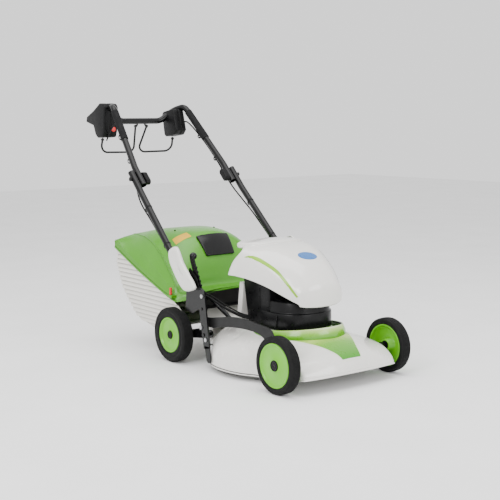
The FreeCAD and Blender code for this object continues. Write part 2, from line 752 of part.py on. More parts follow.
def upper_cables():
    gap = TUBE_R + CABLE_R + 0.5
    route_right = [(-1196, -166, 795)] + off_tube([(-1080, -181.2, 872), (-1010, -193.2, 798), (-925, -206, 708),
                                                   (-900, -210, 682)], gap + 4)
    route_left = [(-1122, 150, 858), (-1095, 152, 868)] + off_tube([(-1010, 193.2, 798), (-925, 206, 708),
                                                                    (-900, 210, 682)], gap + 4)
    cables = []
    for route in (route_right, route_left):
        cables.append(pipe(route, largest_radii(route), CABLE_R))
    return cables


def lower_cables():
    gap = TUBE_R + CABLE_R + 0.5
    cables = []
    for sign in (-1, 1):
        route = off_tube([(-852, sign * 233, 632), (-820, sign * 236, 600), (-700, sign * 242, 484),
                          (-560, sign * 244, 352)], gap + 5) + [(-524, sign * 243, 282)]
        cables.append(pipe(route, largest_radii(route), CABLE_R))
    return cables


# ------------------------------------------------------------------ write it all
def write_wheels():
    rows = (("front_right", 0.0, FRONT_R, FRONT_W, RIM_FRONT_R, FRONT_OUT_Y, False),
            ("front_left", 0.0, FRONT_R, FRONT_W, RIM_FRONT_R, FRONT_OUT_Y, False),
            ("rear_right", -WHEELBASE, REAR_R, REAR_W, RIM_REAR_R, REAR_OUT_Y, True),
            ("rear_left", -WHEELBASE, REAR_R, REAR_W, RIM_REAR_R, REAR_OUT_Y, True))
    for name, x, radius, width, rim_r, out_y, rear in rows:
        tyre, rim, bearing, cap = wheel_parts(x, radius, radius, width, rim_r, out_y, rear)
        left = name.endswith("left")
        save("tyre_" + name, side(tyre, left))
        save("rim_" + name, side(rim, left))
        save("bearing_" + name, side(bearing, left))
        if not rear:
            save("hub_cap_" + name, side(cap, left))


def write_deck():
    main, nose = deck_parts()
    save("deck_shell", main)
    save("deck_nose", nose)
    save("discharge_tunnel", discharge_tunnel())
    save("collar_ring", collar_ring())
    save("motor_housing", motor_housing())
    save("motor_stator", motor_stator())
    save("battery_pack", battery_pack())
    save("rear_duct", rear_duct())
    save("rear_frame_right", rear_frame(False))
    save("rear_frame_left", rear_frame(True))
    save("rear_crossbeam", rear_crossbeam())
    save("handle_brackets", handle_bracket(False), handle_bracket(True))
    save("handle_covers", handle_cover(False), handle_cover(True))
    save("frame_bolts", *frame_bolts())
    save("brace_rods", *brace_rods())
    save("lower_tube_right", lower_tube(False))
    save("lower_tube_left", lower_tube(True))
    save("lower_cables", *lower_cables())


def write_running_gear():
    save("front_crank", front_crank())
    save("rear_swing_arms", rear_swing_arms())
    save("drive_gearbox", drive_gearbox())
    save("height_lever", height_lever())
    save("lever_knob", lever_knob())
    save("height_link", height_link())
    save("blade", blade())
    save("blade_shaft", blade_shaft())
    save("blade_bolt", blade_bolt())


def write_covers():
    save("hood", hood())
    save("collector_lid", fuse(collector_lid(), latch_base()))
    save("collector_panel", collector_panel())
    save("collector_basket", collector_basket())
    save("collector_latch", collector_latch())


def write_handle():
    save("upper_handle", upper_handle())
    save("handle_sleeves", *handle_sleeves())
    save("clamp_knob_right", clamp_knob(False))
    save("clamp_knob_left", clamp_knob(True))
    save("control_box_right", control_box_right())
    save("control_box_left", control_box_left())
    save("start_button", start_button())
    save("stop_button", stop_button())
    save("bail_right", bail(*BAIL_PIVOTS["right"]))
    save("bail_left", bail(*BAIL_PIVOTS["left"]))
    save("upper_cables", *upper_cables())


write_wheels()
write_deck()
write_running_gear()
write_covers()
write_handle()
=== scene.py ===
import bpy
import bmesh
import math
from mathutils import Matrix, Vector
from mathutils.bvhtree import BVHTree


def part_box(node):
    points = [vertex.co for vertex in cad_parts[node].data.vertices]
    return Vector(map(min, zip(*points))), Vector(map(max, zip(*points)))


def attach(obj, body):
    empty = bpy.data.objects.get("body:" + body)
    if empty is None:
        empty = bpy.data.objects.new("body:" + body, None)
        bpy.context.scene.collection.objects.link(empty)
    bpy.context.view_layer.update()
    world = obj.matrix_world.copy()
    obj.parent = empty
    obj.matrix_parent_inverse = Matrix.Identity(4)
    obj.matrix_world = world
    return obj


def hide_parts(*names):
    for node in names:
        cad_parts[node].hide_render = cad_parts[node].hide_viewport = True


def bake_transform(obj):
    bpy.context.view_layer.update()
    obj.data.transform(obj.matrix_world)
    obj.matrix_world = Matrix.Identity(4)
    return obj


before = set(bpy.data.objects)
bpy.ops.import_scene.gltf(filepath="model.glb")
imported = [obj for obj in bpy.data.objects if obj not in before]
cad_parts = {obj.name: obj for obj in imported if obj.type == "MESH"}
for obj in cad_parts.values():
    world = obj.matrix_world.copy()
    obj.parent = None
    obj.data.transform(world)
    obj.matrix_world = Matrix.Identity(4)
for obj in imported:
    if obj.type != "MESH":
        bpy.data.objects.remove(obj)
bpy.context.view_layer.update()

MM = 0.001
FRONT_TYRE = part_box("tyre_front_right")
AXLE_X = (FRONT_TYRE[0].x + FRONT_TYRE[1].x) / 2


def at(x, y, z):
    """A point given in millimetres from the ground under the front axle."""
    return Vector((AXLE_X + x * MM, y * MM, z * MM))


SIDES = (("right", -1), ("left", 1))


# ---------- materials
def srgb(r, g, b):
    """A colour as it looks on screen, 0 to 255, as linear values."""
    def linear(value):
        value /= 255
        return value / 12.92 if value <= 0.04045 else ((value + 0.055) / 1.055) ** 2.4
    return (linear(r), linear(g), linear(b), 1.0)


class Shader:
    """A node material built step by step round one Principled shader."""

    def __init__(self, name, roughness=0.5, metallic=0.0, coat=0.0, coat_roughness=0.05, specular=0.5):
        self.material = bpy.data.materials.new(name)
        self.material.use_nodes = True
        self.tree = self.material.node_tree
        self.tree.nodes.clear()
        self.output = self.node("OutputMaterial", {})
        self.main = self.node("BsdfPrincipled", {
            "Roughness": roughness, "Metallic": metallic, "Coat Weight": coat,
            "Coat Roughness": coat_roughness, "IOR": 1.5, "Specular IOR Level": specular})
        self.link(self.main.outputs["BSDF"], self.output.inputs["Surface"])
        self.place = self.node("TexCoord", {}).outputs["Object"]

    def node(self, kind, inputs, **values):
        """A new node; each input is a value or another node's output."""
        made = self.tree.nodes.new("ShaderNode" + kind)
        for key, value in values.items():
            setattr(made, key, value)
        for key, value in inputs.items():
            if isinstance(value, bpy.types.NodeSocket):
                self.link(value, made.inputs[key])
            else:
                made.inputs[key].default_value = value
        return made

    def link(self, start, end):
        self.tree.links.new(start, end)

    def noise(self, scale, detail=3.0, roughness=0.55, place=None):
        return self.node("TexNoise", {"Scale": scale, "Detail": detail, "Roughness": roughness,
                                      "Vector": place or self.place}).outputs["Fac"]

    def stretched(self, x, y, z):
        return self.node("Mapping", {"Scale": (x, y, z), "Vector": self.place}).outputs["Vector"]

    def along(self, axis):
        return self.node("SeparateXYZ", {0: self.place}).outputs[axis]

    def between(self, value, low, high, start=0.3, end=0.7):
        return self.node("MapRange", {"From Min": start, "From Max": end, "To Min": low, "To Max": high,
                                      "Value": value}).outputs["Result"]

    def ramp(self, value, stops):
        made = self.node("ValToRGB", {"Fac": value})
        marks = made.color_ramp.elements
        while len(marks) > 1:
            marks.remove(marks[-1])
        marks[0].position, marks[0].color = stops[0]
        for place, colour in stops[1:]:
            marks.new(place).color = colour
        return made.outputs["Color"]

    def colour(self, output):
        self.link(output, self.main.inputs["Base Color"])

    def tint(self, value, colour, stops):
        """Colour that runs through brighter and darker shades of one colour."""
        colour = srgb(*colour)
        self.colour(self.ramp(value, [(place, tinted(colour, factor)) for place, factor in stops]))

    def roughness(self, output):
        self.link(output, self.main.inputs["Roughness"])

    def bump(self, height, strength, distance=0.001):
        made = self.node("Bump", {"Strength": strength, "Distance": distance, "Height": height})
        self.link(made.outputs["Normal"], self.main.inputs["Normal"])


def tinted(colour, factor):
    return tuple(min(1.0, value * factor) for value in colour[:3]) + (1.0,)


def moulded(name, colour, roughness, grain=900.0, grain_strength=0.06, coat=0.0, spread=0.06, specular=0.5):
    """Moulded plastic: faint cloudy colour, fine grain, uneven gloss."""
    shader = Shader(name, roughness=roughness, coat=coat, specular=specular)
    shader.tint(shader.noise(14.0, 4.0), colour, ((0.3, 1 - spread), (0.7, 1 + spread)))
    shader.roughness(shader.between(shader.noise(60.0), roughness * 0.85, min(1.0, roughness * 1.2)))
    shader.bump(shader.noise(grain, 2.0), grain_strength, 0.0004)
    return shader.material


def enamel(name, colour, roughness=0.25, coat=0.6, peel=0.02, specular=0.5):
    """Sprayed enamel: faint orange peel under a clear gloss."""
    shader = Shader(name, roughness=roughness, coat=coat, coat_roughness=0.08, specular=specular)
    shader.tint(shader.noise(9.0, 3.0), colour, ((0.3, 0.97), (0.7, 1.02)))
    shader.roughness(shader.between(shader.noise(40.0), roughness * 0.8, roughness * 1.25))
    shader.bump(shader.noise(260.0, 2.0), peel, 0.0006)
    return shader.material


def metal(name, colour, roughness=0.3, streaks=(1, 40, 1)):
    """Bright metal with a fine drawn grain."""
    shader = Shader(name, roughness=roughness, metallic=1.0)
    grain = shader.noise(120.0, 4.0, place=shader.stretched(*streaks))
    shader.tint(grain, colour, ((0.3, 0.8), (0.7, 1.1)))
    shader.roughness(shader.between(grain, roughness * 0.7, roughness * 1.4))
    shader.bump(grain, 0.08, 0.0003)
    return shader.material


def rubber(name, colour, roughness=0.62):
    """Tyre and seal rubber with dust in its pores."""
    shader = Shader(name, roughness=roughness, specular=0.14)
    shader.tint(shader.noise(28.0, 6.0, 0.7), colour, ((0.35, 1.0), (0.75, 1.7)))
    shader.roughness(shader.between(shader.noise(90.0), roughness * 0.85, roughness * 1.15))
    shader.bump(shader.noise(700.0, 3.0), 0.12, 0.0004)
    return shader.material


def gradient(name, axis, stops, roughness=0.3, coat=0.4):
    """Printed film whose colour runs from one tint to the next along an axis, places in mm."""
    shader = Shader(name, roughness=roughness, coat=coat)
    low, high = stops[0][0], stops[-1][0]
    origin = AXLE_X if axis == 0 else 0.0
    share = shader.between(shader.along(axis), 0.0, 1.0, origin + low * MM, origin + high * MM)
    marks = [((place - low) / (high - low), srgb(*colour)) for place, colour in stops]
    shader.colour(shader.ramp(share, marks))
    shader.roughness(shader.between(shader.noise(50.0), roughness * 0.8, roughness * 1.2))
    return shader.material


def slatted(name, colour, pitch, first):
    """Pale moulding with painted shade in the gap under each slat, and a fine grain."""
    shader = Shader(name, roughness=0.5)
    shifted = shader.node("Math", {0: shader.along(2), 1: first}, operation="SUBTRACT")
    rest = shader.node("Math", {0: shifted.outputs[0], 1: pitch, 2: 0.0}, operation="WRAP")
    share = shader.between(rest.outputs[0], 0.0, 1.0, 0.0, pitch)
    # painted shade: the colour darkens at each slat's foot and at the top of the slat below, in the gap under
    # the overhanging lip
    shader.tint(share, colour, ((0.0, 0.28), (0.05, 0.42), (0.1, 1.0), (0.55, 1.02), (0.86, 0.8),
                                (1.0, 0.45)))
    shader.roughness(shader.between(shader.noise(60.0), 0.42, 0.6))
    shader.bump(shader.noise(700.0, 2.0), 0.05, 0.0004)
    return shader.material


WHITE = (224, 222, 217)
GREEN = (68, 142, 0)
WHEEL_GREEN = (98, 178, 8)
BLACK = (13, 13, 14)
GLOSS_BLACK = (10, 10, 11)
DARK_GREY = (26, 26, 26)

M = {
    "deck": enamel("deck_enamel", WHITE, 0.24, 0.7),
    "hood": enamel("hood_gloss", WHITE, 0.22, 0.7, 0.01),
    "white": moulded("white_moulding", WHITE, 0.35, coat=0.2),
    "basket": slatted("basket_moulding", (226, 223, 215), 0.0165, 0.108),
    "green": moulded("lid_green", GREEN, 0.36, 700.0, 0.05, coat=0.15, spread=0.05),
    "wheel": moulded("wheel_green", WHEEL_GREEN, 0.34, 700.0, 0.05, coat=0.15, spread=0.05),
    "black": moulded("black_moulding", BLACK, 0.4, 800.0, 0.10, specular=0.16),
    "satin": moulded("motor_black", (14, 14, 15), 0.3, 600.0, 0.05, specular=0.2),
    "powder": enamel("black_powder_coat", GLOSS_BLACK, 0.2, 0.0, 0.05, specular=0.3),
    "link": enamel("dark_grey_paint", DARK_GREY, 0.38, 0.0, 0.05, specular=0.2),
    "sleeve": moulded("grip_sleeve", (20, 20, 21), 0.7, 1200.0, 0.25, specular=0.15),
    "tyre": rubber("tyre_rubber", (15, 15, 15)),
    "soft": rubber("soft_rubber", (12, 12, 12), 0.5),
    "steel": metal("bright_steel", (190, 190, 192)),
    "alloy": metal("cast_alloy", (160, 160, 160), 0.5, (1, 1, 1)),
    "copper": metal("winding_copper", (190, 120, 70), 0.4, (30, 30, 1)),
    "yellow": moulded("button_yellow", (240, 222, 100), 0.4),
    "red": moulded("button_red", (200, 34, 34), 0.35),
    "label": moulded("label_yellow", (206, 160, 0), 0.45),
    "stripe": moulded("stripe_lime", (128, 180, 0), 0.3, coat=0.3),
    "ring_grey": moulded("collar_grey", (150, 156, 140), 0.3, coat=0.4),
    # painted shade: a darker green for the shade inside the groove along the lid's edge
    "dark_green": moulded("groove_shade_green", (52, 92, 22), 0.5),
    "gloss_black": moulded("gloss_black", (10, 10, 11), 0.22, specular=0.3),
    "pale_film": moulded("pale_film", (220, 226, 200), 0.3, coat=0.4),
    "film": gradient("nose_print", 0, (
        (-160, (58, 124, 0)), (-80, (100, 160, 16)), (-30, (170, 200, 90)), (8, (96, 164, 8)),
        (84, (50, 136, 0)))),
    # painted highlight: the green print pales to near white at the rim's top edge
    "collar": gradient("collar_print_and_rim_highlight", 2, (
        (150, (80, 150, 8)), (165, (112, 172, 30)), (178, (170, 198, 110)), (184, (206, 214, 180)))),
    "collar_inside": moulded("collar_inside", (84, 136, 40), 0.35, coat=0.3),
    "badge": gradient("badge_blue", 2, (
        (374, (110, 190, 216)), (384, (0, 136, 190)), (402, (0, 96, 168)))),
}


# ---------- mesh helpers
def placed(name, data):
    """A new object in the scene."""
    made = bpy.data.objects.new(name, data)
    bpy.context.scene.collection.objects.link(made)
    return made


def mesh_piece(name, points, faces, body, material, node=None, smooth=True):
    """A new piece that rides on a body; it stands for a CAD node when one is named."""
    data = bpy.data.meshes.new(name)
    data.from_pydata([tuple(p) for p in points], [], faces)
    data.validate()
    made = placed(name, data)
    mend = bmesh.new()
    mend.from_mesh(data)
    bmesh.ops.recalc_face_normals(mend, faces=mend.faces)
    mend.to_mesh(data)
    mend.free()
    for face in data.polygons:
        face.use_smooth = smooth
    data.materials.append(M[material] if isinstance(material, str) else material)
    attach(made, body)
    if node:
        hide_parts(*([node] if isinstance(node, str) else node))
    return made


def grid_faces(rows, columns, ring=False):
    faces = []
    for i in range(rows - 1):
        for j in range(columns if ring else columns - 1):
            k = (j + 1) % columns
            faces.append((i * columns + j, i * columns + k, (i + 1) * columns + k, (i + 1) * columns + j))
    return faces


def bend(a, b, c, d, t):
    """A point between b and c, on a smooth curve that also passes a and d."""
    flat = 2 * b + (c - a) * t
    return 0.5 * (flat + (2 * a - 5 * b + 4 * c - d) * t * t + (3 * b - a - 3 * c + d) * t ** 3)


def catmull(points, count):
    """Evenly spread points on a smooth curve through the given ones."""
    last = len(points) - 1
    found = []
    for step in range(count):
        place = step / (count - 1) * last
        i = min(int(place), last - 1)
        t = place - i
        a = points[max(i - 1, 0)]
        b = points[i]
        c = points[i + 1]
        d = points[min(i + 2, last)]
        found.append(bend(a, b, c, d, t))
    return found


def skin(ribs, along, across):
    """A smooth sheet through ribs of control points, as rows of points."""
    columns = [catmull([rib[i] for rib in ribs], along) for i in range(len(ribs[0]))]
    return [catmull([column[j] for column in columns], across) for j in range(along)]


def end_caps(rows, columns):
    """Faces that close both ends of a stack of rings."""
    last = (rows - 1) * columns
    return [tuple(reversed(range(columns))), tuple(last + k for k in range(columns))]


def oval_point(centre_x, half_x, half_y, z, angle, power):
    """A point on a squared oval that lies flat at a height."""
    cos, sin = math.cos(angle), math.sin(angle)
    scale = (abs(cos) ** power + abs(sin) ** power) ** (-1 / power)
    return at(centre_x + half_x * cos * scale, half_y * sin * scale, z)


def flat_list(rows):
    return [point for row in rows for point in row]


def turns(count):
    """Angles evenly spread round a full turn."""
    return [2 * math.pi * i / count for i in range(count)]


def ring_piece(name, rows, body, material, node=None, ends=True):
    """A skin through closed rings, with flat ends or open ones."""
    count = len(rows[0])
    faces = grid_faces(len(rows), count, True) + (end_caps(len(rows), count) if ends else [])
    return mesh_piece(name, flat_list(rows), faces, body, material, node)


def thicken(piece, depth):
    """Give a sheet a thickness behind its face."""
    modifier = piece.modifiers.new("thickness", "SOLIDIFY")
    modifier.thickness = depth * MM
    modifier.offset = -1


def bevelled(piece, width, segments=3, angle=35):
    modifier = piece.modifiers.new("edges", "BEVEL")
    modifier.width = width * MM
    modifier.segments = segments
    modifier.limit_method = "ANGLE"
    modifier.angle_limit = math.radians(angle)


def revolved(name, profile, centre, body, material, node=None, steps=96, sign=1):
    """A ring turned about an axis along Y; the profile's (radius, y) points are a closed loop."""
    cx, cz = centre
    rows = [[at(cx + r * math.cos(angle), sign * y, cz + r * math.sin(angle)) for angle in turns(steps)]
            for r, y in profile]
    faces = grid_faces(len(rows) + 1, steps, True)
    total = len(rows) * steps
    faces = [tuple(v % total for v in face) for face in faces]
    return mesh_piece(name, flat_list(rows), faces, body, material, node)


def swept(name, centres, radius, body, material, node=None, steps=14):
    """A round bar along a line of points."""
    rows = []
    across = None
    for i, centre in enumerate(centres):
        ahead = centres[min(i + 1, len(centres) - 1)] - centres[max(i - 1, 0)]
        ahead.normalize()
        if across is None:
            across = ahead.orthogonal().normalized()
        across = (across - ahead * across.dot(ahead)).normalized()
        other = ahead.cross(across)
        rows.append([centre + (across * math.cos(angle) + other * math.sin(angle)) * radius * MM
                     for angle in turns(steps)])
    return ring_piece(name, rows, body, material, node)


def extruded(name, outline, y0, y1, body, material, node=None, bevel=0.0, smooth=False):
    """A plate with an (x, z) outline between two y planes."""
    count = len(outline)
    points = [at(x, y0, z) for x, z in outline] + [at(x, y1, z) for x, z in outline]
    faces = [tuple(range(count)), tuple(reversed(range(count, 2 * count)))]
    faces += [(i, i + count, (i + 1) % count + count, (i + 1) % count) for i in range(count)]
    made = mesh_piece(name, points, faces, body, material, node, smooth)
    if bevel:
        bevelled(made, bevel)
    return made


def surface_tree(piece):
    """A search tree on a piece's outer surface, before it's thickened."""
    data = piece.data
    world = piece.matrix_world
    points = [world @ vertex.co for vertex in data.vertices]
    return BVHTree.FromPolygons(points, [tuple(face.vertices) for face in data.polygons])


def face_outward(piece):
    """Turn a sheet's faces so that its highest one looks up."""
    data = piece.data
    highest = max(data.polygons, key=lambda face: face.center.z)
    if highest.normal.z < 0:
        data.flip_normals()


def laid_on(tree, rows, lift, direction=None):
    """Rows of points moved onto a surface, and then off it by a hair."""
    moved = []
    for row in rows:
        line = []
        for point in row:
            hit = None
            if direction is not None:
                hit, normal = tree.ray_cast(point, direction)[:2]
            if hit is None:
                hit, normal = tree.find_nearest(point)[:2]
            line.append(hit + normal * lift * MM)
        moved.append(line)
    return moved


def sheet_piece(name, rows, body, material, node=None):
    faces = grid_faces(len(rows), len(rows[0]))
    return mesh_piece(name, flat_list(rows), faces, body, material, node)


# ---------- wheels
def build_tyre(name, place, sign, body, width, rim_r, out_y, grooves):
    """Tyre with circumferential grooves."""
    radius = place[1]
    half = width / 2
    mid = out_y - half
    bead = rim_r + 0.4
    rib = (bead + radius) / 2
    tread = half - 5.0
    profile = [(bead, mid + half - 4), (bead + 3, mid + half - 1.2), (bead + 6, mid + half - 0.2),
               (rib - 1, mid + half), (rib + 0.5, mid + half - 0.9), (rib + 2, mid + half),
               (radius - 8, mid + half - 0.4), (radius - 4.5, mid + half - 1.6),
               (radius - 2.2, mid + tread)]
    pitch = 2 * tread / grooves
    for i in range(grooves):
        start = mid + tread - pitch * i
        for share, depth in ((0.1, 0.0), (0.62, 0.0), (0.7, 2.4), (0.96, 2.4)):
            y = start - pitch * share
            crown = 1.9 * ((y - mid) / half) ** 2
            profile.append((radius - crown - depth, y))
    profile += [(radius - 2.2, mid - tread), (radius - 4.5, mid - half + 1.6), (radius - 8, mid - half + 0.4),
                (rib, mid - half), (bead + 6, mid - half + 0.2), (bead + 3, mid - half + 1.2),
                (bead, mid - half + 4)]
    revolved(name + "_detail", profile, place, body, "tyre", name, 128, sign)


def build_rim(name, place, sign, body, width, rim_r, out_y, dish):
    face = out_y - dish
    inner = out_y - width
    hub = 22.0
    profile = [(15.2, face + 1), (hub - 2, face + 1), (hub, face + 0.4), (hub + 1.5, face - 0.6),
               (rim_r - 12, face - 0.8), (rim_r - 8.5, face - 0.2), (rim_r - 6, face + dish - 3.4),
               (rim_r - 4.6, face + dish - 2.2), (rim_r - 1.2, face + dish - 2.0),
               (rim_r, face + dish - 2.8), (rim_r, inner + 3), (rim_r - 1.4, inner + 2.2),
               (rim_r - 3.4, inner + 2.6),
               (rim_r - 5, inner + 9), (rim_r - 10, face - 7), (hub + 6, face - 4.8), (hub + 1, face - 6),
               (hub - 1.5, inner + 7), (hub - 3, inner + 6), (15.2, inner + 6)]
    revolved(name + "_detail", profile, place, body, "wheel", name, 128, sign)


def build_cap(name, place, sign, body, face_y, size, node=None):
    """Low domed cap with a raised rim."""
    profile = [(0.05, face_y + 2.6), (size * 0.45, face_y + 2.4), (size * 0.6, face_y + 1.6),
               (size * 0.72, face_y + 1.7), (size * 0.78, face_y + 3.2), (size * 0.92, face_y + 3.0),
               (size, face_y + 0.4), (size, face_y - 0.2), (0.05, face_y - 0.2)]
    revolved(name, profile, place, body, "black", node, 64, sign)


def build_wheels():
    rear_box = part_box("tyre_rear_right")
    rear_x = ((rear_box[0].x + rear_box[1].x) / 2 - AXLE_X) / MM
    for side, sign in SIDES:
        wheel = ((0, 95), sign, "wheel_front_" + side)
        build_tyre("tyre_front_" + side, *wheel, 41, 73, 266, 9)
        build_rim("rim_front_" + side, *wheel, 41, 73, 266, 6)
        build_cap("front_cap_" + side, *wheel, 261.6, 18.5, "hub_cap_front_" + side)
        wheel = ((rear_x, 100), sign, "wheel_rear_" + side)
        build_tyre("tyre_rear_" + side, *wheel, 46, 64, 272, 7)
        build_rim("rim_rear_" + side, *wheel, 46, 64, 272, 9)
        build_cap("rear_cap_" + side, *wheel, 264.4, 14.8)


# ---------- deck
# height, middle x, half length, half width of the round pan and of the nose
PAN = ((20, -300, 231, 246), (60, -300, 230, 245), (88, -300, 226, 237), (104, -299, 221, 223),
       (122, -297, 212, 199), (145, -288, 196, 152), (166, -276, 180, 114))
NOSE = ((20, -275, 373, 457), (50, -275, 372, 457), (70, -275, 368, 428), (88, -275, 361, 360),
        (104, -275, 349, 303), (122, -275, 319, 214), (145, -275, 267, 152), (166, -275, 215, 114))
DECK_MIDDLE = -290.0
DECK_REAR_X = -486.0
DECK_TOP = 166.0
NOSE_HALF = 205.0


def oval_at(levels, z):
    """Middle, half length and half width of an outline at a height."""
    z = min(max(z, levels[0][0]), levels[-1][0])
    i = 0
    while i < len(levels) - 2 and z > levels[i + 1][0]:
        i += 1
    b, c = (Vector(levels[k][1:]) for k in (i, i + 1))
    a = Vector(levels[max(i - 1, 0)][1:])
    d = Vector(levels[min(i + 2, len(levels) - 1)][1:])
    t = (z - levels[i][0]) / (levels[i + 1][0] - levels[i][0])
    return bend(a, b, c, d, t)


def reach(oval, power, cos, sin, outset):
    """Distance from the deck's middle to a squared oval in one direction."""
    near, far = 0.0, 700.0
    for _ in range(24):
        middle = (near + far) / 2
        x = abs(DECK_MIDDLE + middle * cos - oval.x) / (oval.y + outset)
        y = abs(middle * sin) / (oval.z + outset)
        if x ** power + y ** power < 1:
            near = middle
        else:
            far = middle
    return near


def soft_min(a, b, width):
    h = max(width - abs(a - b), 0.0) / width
    return min(a, b) - h * h * width / 4


def soft_max(a, b, width):
    return -soft_min(-a, -b, width)


def deck_radius(angle, z, outset=0.0):
    """Distance from the deck's middle to its outer wall."""
    cos = math.cos(angle)
    sin = abs(math.sin(angle)) + 1e-9
    pan = reach(oval_at(PAN, z), 2.2, cos, sin, outset)
    if cos < 0:
        return soft_min(pan, (DECK_MIDDLE - DECK_REAR_X + outset) / -cos, 10.0)
    nose = reach(oval_at(NOSE, z), 2.5, cos, sin, outset)
    nose = soft_min(nose, (NOSE_HALF + outset) / sin, 22.0)
    return soft_max(pan, nose, 8.0)


def deck_angles():
    """Directions round the deck, closer together at its corners."""
    corners = (math.atan2(205, 125), math.atan2(205, 366), math.atan2(158, -196))
    found = {round(math.radians(2.5 * i), 5) for i in range(144)}
    for corner in corners:
        for i in range(-8, 9):
            near = corner + math.radians(0.6 * i)
            found.add(round(near, 5))
            found.add(round(2 * math.pi - near, 5))
    return sorted(found)


def nose_floor(x):
    """Height of the lower edge: it rises along the nose."""
    if x < -130:
        return 20.0
    if x < -60:
        return 20.0 + 10 * ((x + 130) / 70) ** 2
    return 30.0 + (x + 60) / 180 * 24


# rise above the lower edge and step outward, round the two turned lips
LIPS = ((0, -2.6), (0, 1.6), (1.2, 2.6), (3.2, 2.6), (4.6, 0.6), (7.6, 0.3), (8.8, 1.3), (11.0, 1.3),
        (12.6, 0.0))
LIP_DEPTH = 13


def wall_height(rise, floor):
    """Height of a ring of the wall where the lower edge is at a given height."""
    if rise < LIP_DEPTH + 1:
        return min(floor + rise, DECK_TOP)
    if floor <= 20.5:
        return 20 + rise
    # the wall above the lips closes up where the lower edge rises
    spread = (DECK_TOP - floor - LIP_DEPTH) / (DECK_TOP - 34)
    return floor + LIP_DEPTH + (rise - 14) * spread


def round_deck(angle, radius, z):
    """A point in one direction from the deck's middle."""
    return at(DECK_MIDDLE + radius * math.cos(angle), radius * math.sin(angle), z)


def build_deck():
    angles = deck_angles()
    rows = []
    for rise, outset in LIPS + tuple((z - 20, 0.0) for z in range(37, 167, 5)):
        row = []
        for angle in angles:
            radius = deck_radius(angle, 20 + rise)
            z = wall_height(rise, nose_floor(DECK_MIDDLE + radius * math.cos(angle)))
            row.append(round_deck(angle, deck_radius(angle, z, outset), z))
        rows.append(row)
    for share, z in ((0.93, 167.2), (0.75, 168), (0.3, 168)):
        rows.append([round_deck(angle, deck_radius(angle, DECK_TOP) * share, z) for angle in angles])
    made = ring_piece("deck_enamelled", rows, "deck", "deck", ("deck_shell", "deck_nose"),
                      ends=False)
    face_outward(made)
    thicken(made, 3.0)
    return made


def panel_rows(grow, count=26, across=17):
    """Rows of points above the printed panel on the nose, from its front edge back."""
    edge = [Vector(p) for p in ((80, 40), (46, 54), (7, 75), (-42, 102), (-110, 132), (-175, 150))]
    line = catmull(edge, count)
    rows = []
    for i, point in enumerate(line):
        x = point.x + (grow if i == 0 else 0)
        half = point.y + grow
        rows.append([at(x, half * (2 * k / (across - 1) - 1), 260) for k in range(across)])
    return rows


def build_nose_panel(deck):
    tree = surface_tree(deck)
    down = Vector((0, 0, -1))
    border = laid_on(tree, panel_rows(4.0), 0.3, down)
    sheet_piece("nose_panel_border", border, "deck", "pale_film")
    print_rows = laid_on(tree, panel_rows(0.0), 0.6, down)
    sheet_piece("nose_panel_print", print_rows, "deck", "film")


def collar_top(angle):
    """The collar's rim is high in front and dips at its sides."""
    return 166 + 18 * max(math.cos(angle), 0.0) ** 1.3


COLLAR_X = -205
COLLAR_HALF = (180, 143)


def collar_point(angle, out, drop):
    """A point a step outward from the collar's rim and a step below it."""
    z = max(collar_top(angle) + drop, 136)
    return oval_point(COLLAR_X, COLLAR_HALF[0] + out, COLLAR_HALF[1] + out, z, angle, 2.1)


def build_collar():
    """Raised rim round the motor, drawn up out of the deck, with a black bead inside its edge; the flank's
    print pales to a painted highlight at the rim.
    """
    steps = 120
    spread = math.radians(124)
    outer = ((13, -42), (8, -18), (4, -8), (1, -3), (0, -0.6), (-1.2, 0.4))
    inner = ((-1.2, 0.4), (-4.2, 0.2), (-4.8, -3), (-5, -14), (-5, -40))
    for name, sections, look, node in (("collar_flank", outer, "collar", "collar_ring"),
                                       ("collar_inner_wall", inner, "collar_inside", None)):
        rows = []
        for i in range(steps + 1):
            angle = -spread + 2 * spread * i / steps
            rows.append([collar_point(angle, out, drop) for out, drop in sections])
        thicken(sheet_piece(name, rows, "deck", look, node), 1.2)
    # a black bead along the inside of the rim's front half
    seal = [collar_point(math.radians(-75 + 150 * i / steps), -5.4, -3.4) for i in range(steps + 1)]
    swept("collar_black_bead", seal, 2.4, "deck", "black")


# ---------- motor and hood
def build_motor_housing():
    """Black drum in two steps, with the taller battery block behind it."""
    levels = ((-215, 119, 110, 164), (-215, 125, 116, 165), (-215, 125.6, 116.6, 167),
              (-215, 125, 116, 218), (-215, 124, 115, 221), (-214, 121, 112, 222.4),
              (-212, 118.6, 108.8, 223), (-212, 118, 108, 226), (-212, 117, 107, 256),
              (-212, 115, 105, 260), (-212, 110, 100, 262), (-212, 60, 50, 262.5), (-212, 4, 4, 262.6))
    rows = [[oval_point(x, half_x, half_y, z, angle, 2.6) for angle in turns(96)]
            for x, half_x, half_y, z in levels]
    ring_piece("motor_drum", rows, "deck", "satin", "motor_housing")
    outline = ((-331, 166), (-357, 316), (-356, 372), (-222, 372), (-214, 292), (-214, 166))
    extruded("battery_block", outline, -113, 113, "deck", "satin", bevel=7, smooth=True)
    for side, sign in SIDES:
        for x in (-262, -168):
            seam = [at(x, sign * 116.2, 172), at(x, sign * 116.2, 216)]
            if x < -250:
                seam = [at(x, sign * 113.4, 226), at(x, sign * 113.4, 300)]
            swept("housing_rib_%d_%s" % (-x, side), seam, 1.6, "deck", "black", steps=10)
    # the arm and pin in front of the drum that the hood turns on
    pivot = at(-57, 0, 259)
    swept("hood_pin", [pivot + Vector((0, y * MM, 0)) for y in (-30, 0, 30)], 3.0, "deck", "steel")
    outline = ((-100, 253), (-57, 254), (-53, 259), (-57, 264), (-100, 263))
    extruded("hood_arm", outline, -14, 14, "deck", "black", bevel=1.5)


